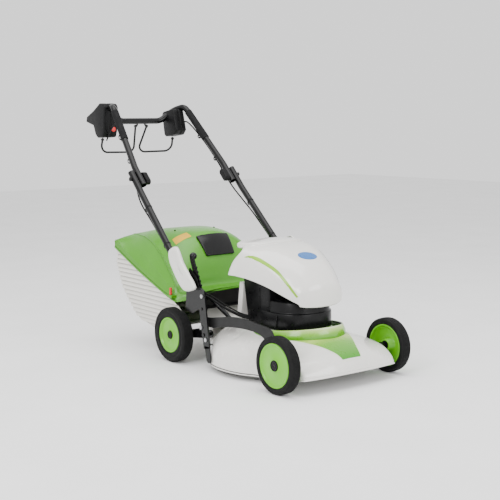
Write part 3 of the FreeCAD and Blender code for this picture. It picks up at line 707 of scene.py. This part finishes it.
# lower edge, side, shoulder, upper side and crest of the hood, from its rear end forward
HOOD_RIBS = (
    ((-362, 176, 341), (-341, 170, 386), (-314, 153, 424), (-352, 100, 444), (-396, 0, 448)),
    ((-322, 172, 338), (-308, 166, 385), (-292, 150, 423), (-304, 90, 445), (-315, 0, 449)),
    ((-260, 160, 331), (-250, 156, 376), (-242, 141, 410), (-240, 84, 438), (-240, 0, 443)),
    ((-192, 143, 314), (-188, 141, 350), (-184, 128, 382), (-180, 76, 418), (-178, 0, 424)),
    ((-140, 124, 292), (-136, 123, 322), (-130, 112, 350), (-122, 66, 388), (-118, 0, 396)),
    ((-96, 105, 272), (-93, 104, 296), (-88, 95, 318), (-80, 58, 350), (-76, 0, 358)),
    ((-76, 97, 264), (-73, 96, 280), (-64, 82, 299), (-54, 50, 312), (-50, 0, 316)),
    ((-74, 92, 256), (-68, 80, 253), (-60, 60, 251), (-52, 30, 250), (-50, 0, 250)))


def whole_rib(half):
    right = [Vector((x, -y, z)) for x, y, z in half]
    left = [Vector((x, y, z)) for x, y, z in reversed(half[:-1])]
    return right + left


def drawn_in(rib, share, x, z):
    """A rib pulled towards a point behind it, to close an end."""
    goal = Vector((x, 0, z))
    return [point.lerp(goal, share) for point in rib]


def smooth_sheet(ribs, along, across):
    return [[at(*point) for point in row] for row in skin(ribs, along, across)]


def creased(rib, at_points, share=0.12):
    """A rib with extra points beside some of its own, so that it bends sharply there."""
    found = []
    for i, point in enumerate(rib):
        if i in at_points:
            found += [point.lerp(rib[i - 1], share), point, point.lerp(rib[i + 1], share)]
        else:
            found.append(point)
    return found


def build_hood_grip():
    """The rounded lip across the top of the hood's rear end that it's lifted by."""
    section = ((150, 0.2), (90, 1.2), (40, 1.6), (14, 0.6), (5, -3), (0.6, -8), (0, -12), (1.5, -18),
               (6, -22), (14, -23), (60, -22), (150, -18))
    depth = 23.0
    rows = []
    for i in range(49):
        share = 2 * i / 48 - 1
        y = 121 * math.sin(share * math.pi / 2)
        swell = (1 - abs(share) ** 6) ** 0.5
        rear = -384 - 34 * math.cos(share * math.pi / 2) ** 1.2
        top = 449.5 - 2 * (y / 121) ** 2
        row = []
        for dx, dz in section:
            run = dx if dx < 20 else 20 + (dx - 20) * (1 - 0.86 * share * share)
            row.append(at(rear + run + (1 - swell) * 20, y, top - depth / 2 + (dz + depth / 2) * swell))
        rows.append(row)
    ring_piece("hood_grip", rows, "hood", "hood")


def build_hood():
    ribs = [whole_rib(rib) for rib in HOOD_RIBS]
    rear = ribs[0]
    ribs = [drawn_in(rear, 0.82, -392, 392), drawn_in(rear, 0.3, -394, 395)] + ribs
    hood = sheet_piece("hood_shell", smooth_sheet(ribs, 96, 81), "hood", "hood")
    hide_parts("hood")
    face_outward(hood)
    thicken(hood, 3.6)
    build_hood_grip()
    for side, sign in SIDES:
        points = [at(-57, sign * y, 259) for y in (16, 21, 26)]
        swept("hood_knuckle_" + side, points, 6.0, "hood", "white")
    return hood


def build_hood_trim(hood):
    tree = surface_tree(hood)
    course = ((-292, 142, 402), (-262, 139, 402), (-222, 136, 396), (-170, 122, 372), (-136, 107, 340),
              (-104, 92, 307), (-85, 84, 286))
    for side, sign in SIDES:
        line = catmull_line([(x, sign * y, z) for x, y, z in course], 44)
        rows = []
        for i, point in enumerate(line):
            ahead = (line[min(i + 1, 43)] - line[max(i - 1, 0)]).normalized()
            hit, normal = tree.find_nearest(point)[:2]
            across = normal.cross(ahead).normalized()
            share = i / 43
            width = 8.0 * min(1.0, share * 4) * (1 - 0.6 * share) + 0.3
            rows.append([hit + across * width * MM * k / 2 for k in range(-2, 3)])
        sheet_piece("hood_stripe_" + side, laid_on(tree, rows, 0.5), "hood", "stripe")
    centre = at(-158, 6, 391)
    hit, normal = tree.find_nearest(centre)[:2]
    sideways = Vector((0.1, 1, 0.12)).normalized()
    up = normal.cross(sideways).normalized()
    angles = [2 * math.pi * k / 48 for k in range(49)]
    rows = [[hit + (sideways * math.cos(angle) * 39 + up * math.sin(angle) * 25) * share * MM
             for angle in angles] for share in (0.02, 0.35, 0.7, 0.93, 1.0)]
    sheet_piece("hood_badge", laid_on(tree, rows, 0.5), "hood", "badge")
    for x in (-312, -300):
        row = [at(x + 0.04 * y, y, 470) for y in range(-34, 3, 4)]
        hits = laid_on(tree, [row], -0.4, Vector((0, 0, -1)))[0]
        swept("hood_grip_line_%d" % -x, hits, 1.3, "hood", "black", steps=8)


# ---------- collector
# lower edge, flange, wing, shoulder, upper side and crest of the lid, from its rear end forward;
# a rib is an x with its (y, z) points, and the front lip's ribs lean
FLAT_RIBS = (
    (-1004, ((250, 380), (247, 410), (205, 421), (165, 428), (90, 431), (0, 432))),
    (-950, ((250, 357), (248, 384), (212, 406), (172, 430), (95, 445), (0, 447))),
    (-892, ((250, 332), (248, 357), (220, 390), (180, 426), (100, 450), (0, 454))),
    (-824, ((250, 304), (247, 326), (228, 364), (190, 408), (105, 448), (0, 458))),
    (-749, ((250, 276), (246, 296), (234, 334), (203, 374), (112, 436), (0, 456))),
    (-700, ((249, 257), (245, 274), (236, 307), (212, 342), (118, 412), (0, 440))),
    (-655, ((247, 240), (243, 254), (238, 278), (220, 308), (125, 358), (0, 380))),
    (-620, ((243, 226), (240, 236), (236, 251), (224, 272), (130, 296), (0, 300))),
    (-598, ((238, 218), (235, 226), (230, 238), (218, 250), (130, 262), (0, 264))))
LIP_RIBS = (
    ((-566, 206, 226), (-565, 204, 233), (-564, 202, 241), (-560, 196, 252), (-550, 120, 262),
     (-545, 0, 264)),
    ((-520, 188, 246), (-519, 187, 249), (-518, 185, 253), (-516, 180, 259), (-512, 110, 266),
     (-511, 0, 268)))
LID_RIBS = tuple(tuple((x, y, z) for y, z in rib) for x, rib in FLAT_RIBS) + LIP_RIBS


def build_lid():
    ribs = [whole_rib(rib) for rib in LID_RIBS]
    tail = [Vector((-1008 + 4 * abs(p.y) / 250, p.y * 0.99, 377)) for p in ribs[0]]
    middle = [a.lerp(b, 0.5) + Vector((-2.5, 0, 1)) for a, b in zip(tail, ribs[0])]
    ribs = [creased(rib, (1, 2, 3, 7, 8, 9)) for rib in [tail, middle] + ribs]
    lid = sheet_piece("lid_shell", smooth_sheet(ribs, 120, 161), "collector", "green")
    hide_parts("collector_lid")
    face_outward(lid)
    thicken(lid, 3.2)
    return lid


def along_edge(offset_y, offset_z, count=60):
    """Points along the lid's left lower edge, from its rear end forward."""
    line = catmull([Vector(rib[0]) for rib in LID_RIBS[:9]], count)
    return [Vector((p.x, p.y + offset_y, p.z + offset_z)) for p in line]


def patch(corners, count):
    """Rows of points that fill a four-sided area."""
    a, b, c, d = (Vector(corner) for corner in corners)
    rows = []
    for i in range(count + 1):
        left = a.lerp(d, i / count)
        right = b.lerp(c, i / count)
        rows.append([at(*left.lerp(right, k / count)) for k in range(count + 1)])
    return rows


def build_lid_trim(lid):
    tree = surface_tree(lid)
    for side, sign in SIDES:
        points = [at(p.x, sign * p.y, p.z) for p in along_edge(0.2, 1.0)]
        swept("lid_edge_bead_" + side, points, 3.0, "collector", "green", steps=12)
        # painted shade: a dark green line laid on the lid stands for the shade in the groove along its edge
        groove = [at(p.x, sign * p.y, p.z) for p in along_edge(0, 6)]
        groove = laid_on(tree, [groove], 0.0)[0]
        swept("lid_edge_groove_shade_" + side, groove, 0.9, "collector", "dark_green", steps=8)
    front = ((-566, -206, 226), (-520, -188, 246), (-514, -140, 255), (-511, 0, 262), (-514, 140, 255),
             (-520, 188, 246), (-566, 206, 226))
    swept("lid_lip_bead", catmull_line(front, 60), 3.4, "collector", "green", steps=12)
    # the black grip panel
    corners = ((-708, -72, 428), (-708, 64, 428), (-648, 62, 366), (-648, -64, 366))
    rows = laid_on(tree, patch(corners, 12), 9.0)
    panel = sheet_piece("lid_grip_panel", rows, "collector", "gloss_black")
    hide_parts("collector_panel")
    face_outward(panel)
    thicken(panel, 11.0)
    bevelled(panel, 2.5, 3)
    # plain label with nothing printed on it
    corners = ((-764, -146, 432), (-757, -82, 452), (-724, -80, 424), (-730, -144, 402))
    rows = laid_on(tree, patch(corners, 6), 0.5)
    sheet_piece("lid_plain_label", rows, "collector", "label")
    for side, sign in SIDES:
        hit, normal = tree.find_nearest(at(-820, sign * 90, 440))[:2]
        swept("lid_stud_" + side, [hit - normal * 0.004, hit + normal * 0.003], 3.5,
              "collector", "black")
    outline = ((-630, 233), (-630, 243), (-601, 243), (-601, 233))
    extruded("lid_latch_base", outline, -256, -234, "collector", "green", bevel=1.5)


# side outline of the basket: height, rear end x, front end x, half width
BASKET = ((88, -812, -800, 200), (97, -850, -772, 212), (112, -900, -712, 220), (121, -915, -640, 224),
          (130, -925, -562, 227), (160, -947, -562, 232), (190, -971, -562, 236), (227, -999, -622, 240),
          (257, -1010, -700, 242), (276, -1017, -749, 243), (304, -1028, -824, 244), (320, -1034, -862, 244),
          (340, -1030, -911, 244), (360, -1018, -957, 243), (374, -1006, -990, 242))
SLAT_PITCH = 16.5


def basket_at(z):
    z = min(max(z, BASKET[0][0]), BASKET[-1][0])
    for low, high in zip(BASKET, BASKET[1:]):
        if z <= high[0]:
            t = (z - low[0]) / (high[0] - low[0])
            return [a + (b - a) * t for a, b in zip(low[1:], high[1:])]
    return list(BASKET[-1][1:])


def basket_slice(z, outset):
    """Half outline at a height: from the front along the right wall, then round to the rear middle."""
    rear, front, half = basket_at(z)
    corner = min(46.0, (front - rear) * 0.45)
    half += outset
    rear -= outset
    wall = [(front + (rear + corner - front) * i / 15, -half) for i in range(16)]
    angles = [math.pi / 2 * i / 8 for i in range(1, 9)]
    bend_round = [(rear + corner * (1 - math.sin(angle)), -half + corner * (1 - math.cos(angle)))
                  for angle in angles]
    return wall + bend_round + [(rear, (-half + corner) * (1 - i / 8)) for i in range(1, 9)]


def build_basket():
    """Basket of overlapping sloping slats, with a plain band round its foot."""
    heights = [(88.0, 0.0), (92.0, 0.0), (97.0, 0.0), (104.0, 0.0)]
    z = 108.0
    while z + SLAT_PITCH < 376:
        heights += [(z, -1.0), (z + 0.8, 4.2), (z + SLAT_PITCH * 0.5, 2.2), (z + SLAT_PITCH - 1.0, -0.6)]
        z += SLAT_PITCH
    rows = []
    for level, out in heights:
        right = basket_slice(level, out)
        left = [(x, -y) for x, y in reversed(right[:-1])]
        rows.append([at(x, y, level) for x, y in right + left])
    columns = len(rows[0])
    faces = grid_faces(len(rows), columns)
    for i, (level, _) in enumerate(heights[:-1]):
        if heights[i + 1][0] <= 131:
            faces.append((i * columns, (i + 1) * columns, (i + 2) * columns - 1, (i + 1) * columns - 1))
    basket = mesh_piece("basket_slats", flat_list(rows), faces, "collector", "basket",
                        "collector_basket", smooth=False)
    thicken(basket, 2.6)
    return basket


# ---------- running gear
LINK_EDGE = ((-452, 158), (-400, 152), (-294, 170), (-208, 176), (-130, 172), (-84, 150), (-66, 84),
             (-58, 66), (-34, 66), (-28, 84), (-44, 160), (-66, 196), (-127, 205), (-208, 211),
             (-294, 206), (-400, 188), (-452, 184))


def build_link():
    """Pressed band with rolled edges."""
    lower = catmull([Vector(p) for p in LINK_EDGE[:6]], 24) + [Vector(p) for p in LINK_EDGE[6:8]]
    upper = [Vector(p) for p in LINK_EDGE[8:10]] + catmull([Vector(p) for p in LINK_EDGE[10:]], 28)
    outline = [(p.x, p.y) for p in lower + upper]
    extruded("height_link_band", outline, -223.0, -217.5, "link", "link", "height_link",
             bevel=1.6)


COVER_EDGE = ((-543, 426), (-589, 411), (-590, 382), (-571, 348), (-521, 292), (-484, 275), (-434, 289),
              (-439, 309), (-469, 338), (-506, 376))


def rounded(outline, count):
    """A closed smooth curve through (x, z) points."""
    points = [Vector(p) for p in outline]
    size = len(points)
    found = []
    for i in range(size):
        a, b, c, d = (points[(i + k) % size] for k in (-1, 0, 1, 2))
        for step in range(count):
            found.append(bend(a, b, c, d, step / count))
    return [(p.x, p.y) for p in found]


def build_handle_covers():
    outline = rounded(COVER_EDGE, 6)
    centre = Vector((sum(p[0] for p in outline) / len(outline), sum(p[1] for p in outline) / len(outline)))
    dome = ((1.0, 262.5), (1.0, 268.0), (0.985, 271.2), (0.94, 273.6), (0.8, 275.4), (0.4, 276.4),
            (0.03, 276.6))
    for side, sign in SIDES:
        rows = []
        for share, y in dome:
            scaled = [centre.lerp(Vector(point), share) for point in outline]
            rows.append([at(p.x, sign * y, p.y) for p in scaled])
        cover = ring_piece("handle_cover_" + side, rows, "deck", "white",
                           "handle_covers" if side == "right" else None, ends=False)
        thicken(cover, 2.2)


def build_frame_feet():
    """The rear frame's uprights run on down beside the deck."""
    outline = ((-416, 88), (-385, 88), (-378, 40), (-382, 30), (-396, 28), (-404, 36))
    for side, y0, y1 in (("right", -242, -237.5), ("left", 237.5, 242)):
        extruded("frame_foot_" + side, outline, y0, y1, "deck", "powder", bevel=1.2)


def build_wiring():
    """Wires that run from the rear beam down to the motor housing."""
    for side, sign in SIDES:
        for number, (dy, dz, radius) in enumerate(((0, 0, 4.5), (9, 6, 3.5), (-4, 9, 2.6))):
            points = [(-500, 186 + dy, 250 + dz), (-462, 176 + dy, 240 + dz), (-400, 160 + dy, 214 + dz),
                      (-350, 140 + dy * 0.6, 194 + dz), (-322, 122 + dy * 0.3, 186 + dz),
                      (-310, 104, 184 + dz)]
            line = catmull_line([(x, sign * y, z) for x, y, z in points], 40)
            swept("motor_wire_%d_%s" % (number, side), line, radius, "deck", "soft",
                  steps=12)


def build_lip_gap_shade():
    """Painted shade: a black bar in the gap between the two turned lips of the pan."""
    z = 25.6
    angles = [math.radians(52 + 256 * i / 149) for i in range(150)]
    line = [round_deck(angle, deck_radius(angle, z, 1.0), z) for angle in angles]
    swept("pan_lip_gap_shade", line, 1.1, "deck", "black", steps=8)


def build_lever_knob():
    angles = [math.pi * i / 12 for i in range(13)]
    profile = [(max(13.5 * math.sin(angle), 0.05), -217 - 13.5 * math.cos(angle)) for angle in angles]
    revolved("lever_ball", profile, (-514, 393), "lever", "gloss_black", "lever_knob", 48)


# ---------- handle
def catmull_line(points, count):
    return [at(*p) for p in catmull([Vector(p) for p in points], count)]


def build_cables():
    """Control cables strapped to the tubes; each follows a curve past the handle's fold."""
    tops = {"right": [(-1196, -168, 793), (-1150, -172, 838), (-1090, -177, 862)],
            "left": [(-1122, 150, 858), (-1090, 160, 862)]}
    along = ((-1020, 190, 786), (-948, 203, 708), (-905, 212, 652), (-868, 226, 600), (-822, 236, 556),
             (-740, 240, 492), (-590, 244, 360), (-535, 243, 298), (-524, 240, 276))
    for side, sign in SIDES:
        line = tops[side] + [(x, sign * y, z) for x, y, z in along]
        made = swept("control_cable_" + side, catmull_line(line, 150), 3.0, "deck", "soft",
                     ("lower_cables", "upper_cables") if side == "right" else None, steps=12)
        made.parent = None
        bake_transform(made)
    straps()


def straps():
    """Clips that hold the cables against the tubes."""
    upper = (-0.681, -0.117, 0.723)
    lower = (-0.721, 0, 0.693)
    places = (("upper_handle", (-1040, 188, 812), upper), ("upper_handle", (-950, 203, 722), upper),
              ("deck", (-770, 238.8, 550), lower), ("deck", (-640, 243.8, 425), lower))
    for number, (body, point, along) in enumerate(places):
        for side, sign in SIDES:
            centre = at(point[0], sign * point[1], point[2])
            direction = Vector((along[0], sign * along[1], along[2])).normalized()
            down = Vector((-direction.z, 0, direction.x)).normalized()
            if down.z > 0:
                down = -down
            out = direction.cross(down).normalized()
            rows = []
            for offset in (-4, -3, 3, 4):
                row = []
                for angle in turns(32):
                    radius = 13.4 if abs(offset) == 3 else 12.7
                    shift = down * (6.0 * max(0.0, math.cos(angle)) ** 2)
                    spoke = (down * math.cos(angle) + out * math.sin(angle)) * radius
                    row.append(centre + (direction * offset + spoke + shift) * MM)
                rows.append(row)
            clip = ring_piece("cable_clip_%d_%s" % (number, side), rows, body, "black",
                              ends=False)
            thicken(clip, 1.4)


def box_halves(name, outline, y0, y1, node, body="upper_handle"):
    """A moulded case in two halves with a seam between them."""
    middle = (y0 + y1) / 2
    for part, (a, b) in (("inner", (y0, middle - 0.5)), ("outer", (middle + 0.5, y1))):
        piece = extruded(name + "_" + part, outline, a, b, body, "black",
                         node if part == "inner" else None, smooth=True)
        bevelled(piece, 5.0, 4, 25)
    centre_x = sum(x for x, _ in outline) / len(outline)
    centre_z = sum(z for _, z in outline) / len(outline)
    core = [(x * 0.985 + 0.015 * centre_x, z * 0.985 + 0.015 * centre_z) for x, z in outline]
    extruded(name + "_seam", core, middle - 2, middle + 2, body, "soft")


RIGHT_BOX = ((-1166, 926), (-1176, 940), (-1208, 943), (-1262, 912), (-1316, 889), (-1322, 868),
             (-1262, 853), (-1246, 816), (-1228, 803), (-1186, 806), (-1176, 830))
LEFT_BOX = ((-1230, 896), (-1222, 908), (-1152, 920), (-1142, 912), (-1120, 832), (-1138, 812),
            (-1205, 804), (-1214, 812))


def build_control_boxes():
    box_halves("control_case_right", RIGHT_BOX, -192, -128, "control_box_right")
    box_halves("control_case_left", LEFT_BOX, 120, 172, "control_box_left")
    # yellow start button and red stop button with soft edges
    for name, x, y, z, radius, sign, body, look, slot_name in (
            ("start_button", -1276, -165, 831, 9, -1, "start_button", "yellow", "yellow_plastic"),
            ("stop_button", -1172, -148, 838, 10, 1, "stop_button", "red", "red_plastic")):
        rows = []
        for share, dx in ((0.98, -22), (1.0, -2), (0.97, 0.4), (0.85, 1.6), (0.5, 2.1), (0.03, 2.2)):
            r = radius * share
            rows.append([at(x + dx * sign, y + r * math.cos(angle), z + r * math.sin(angle))
                         for angle in turns(40)])
        ring_piece(name + "_cap", rows, body, look, name)


# ---------- camera and room
def build_camera():
    """A long lens in front of the mower on its right, a little above it and tilted down."""
    data = bpy.data.cameras.new("camera")
    data.sensor_width = 36
    data.lens = 75.44
    data.shift_x = -0.0082
    data.shift_y = -0.0018
    data.clip_end = 50
    made = placed("camera", data)
    made.location = at(2548.1, -2304.4, 878.6)
    azimuth = math.radians(52.36)
    pitch = math.radians(-7.12)
    roll = math.radians(-0.372)
    tilt = Matrix.Rotation(math.pi / 2 + pitch, 4, "X") @ Matrix.Rotation(roll, 4, "Z")
    turn = Matrix.Rotation(azimuth, 4, "Z") @ tilt
    made.rotation_euler = turn.to_euler()
    bpy.context.scene.camera = made


def build_floor():
    data = bpy.data.meshes.new("floor")
    half = 9.0
    corners = [(-half, -half, 0), (half, -half, 0), (half, half, 0), (-half, half, 0)]
    data.from_pydata(corners, [], [(0, 1, 2, 3)])
    floor = placed("floor", data)
    shader = Shader("studio_floor", roughness=0.9, specular=0.1)
    shader.colour(shader.ramp(shader.noise(3.0), ((0.3, (0.86, 0.86, 0.86, 1)), (0.7, (0.9, 0.9, 0.9, 1)))))
    data.materials.append(shader.material)


def area_light(name, place, target, size, power):
    data = bpy.data.lights.new(name, "AREA")
    data.shape = "RECTANGLE"
    data.size = size[0]
    data.size_y = size[1]
    data.energy = power
    made = placed(name, data)
    made.location = Vector(place)
    made.rotation_euler = (Vector(target) - Vector(place)).to_track_quat("-Z", "Y").to_euler()


def build_lights():
    world = bpy.data.worlds.new("studio")
    world.use_nodes = True
    world.node_tree.nodes["Background"].inputs["Color"].default_value = (1, 1, 1, 1)
    world.node_tree.nodes["Background"].inputs["Strength"].default_value = 1.35
    bpy.context.scene.world = world
    area_light("overhead", (0.2, -0.4, 3.2), (0, 0, 0.3), (3.2, 2.4), 80)
    area_light("key", (1.4, -3.2, 2.4), (0, 0, 0.3), (1.6, 1.6), 80)
    area_light("front_fill", (3.4, 0.8, 1.4), (0, 0, 0.3), (1.8, 1.4), 45)


# ---------- carried-over nodes
# a star in a name stands for right and for left
NODE_LOOKS = {
    "powder": "rear_frame_* rear_crossbeam handle_brackets brace_rods lower_tube_* front_crank "
              "rear_swing_arms height_lever upper_handle bail_*",
    "black": "bearing_front_* bearing_rear_* hub_cap_front_* battery_pack lever_knob collector_panel "
             "clamp_knob_* control_box_*",
    "satin": "motor_housing",
    "link": "height_link",
    "sleeve": "handle_sleeves",
    "soft": "lower_cables upper_cables",
    "steel": "frame_bolts blade blade_shaft blade_bolt",
    "alloy": "drive_gearbox",
    "copper": "motor_stator",
    "deck": "deck_shell deck_nose discharge_tunnel",
    "white": "rear_duct handle_covers",
    "hood": "hood",
    "green": "collector_lid",
    "basket": "collector_basket",
    "wheel": "rim_front_* rim_rear_*",
    "tyre": "tyre_front_* tyre_rear_*",
    "yellow": "start_button",
    "red": "stop_button collector_latch",
    "ring_grey": "collar_ring",
}


def dress_nodes():
    for look, text in NODE_LOOKS.items():
        names = {name.replace("*", side) for name in text.split() for side, _ in SIDES}
        for name in sorted(names):
            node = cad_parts[name]
            for place in node.material_slots:
                place.material = M[look]
            if not node.material_slots:
                node.data.materials.append(M[look])


build_camera()
build_floor()
build_lights()
dress_nodes()
build_wheels()
deck = build_deck()
build_nose_panel(deck)
build_collar()
build_motor_housing()
hood = build_hood()
build_hood_trim(hood)
lid = build_lid()
build_lid_trim(lid)
build_basket()
build_link()
build_handle_covers()
build_frame_feet()
build_wiring()
build_lip_gap_shade()
build_lever_knob()
build_cables()
build_control_boxes()
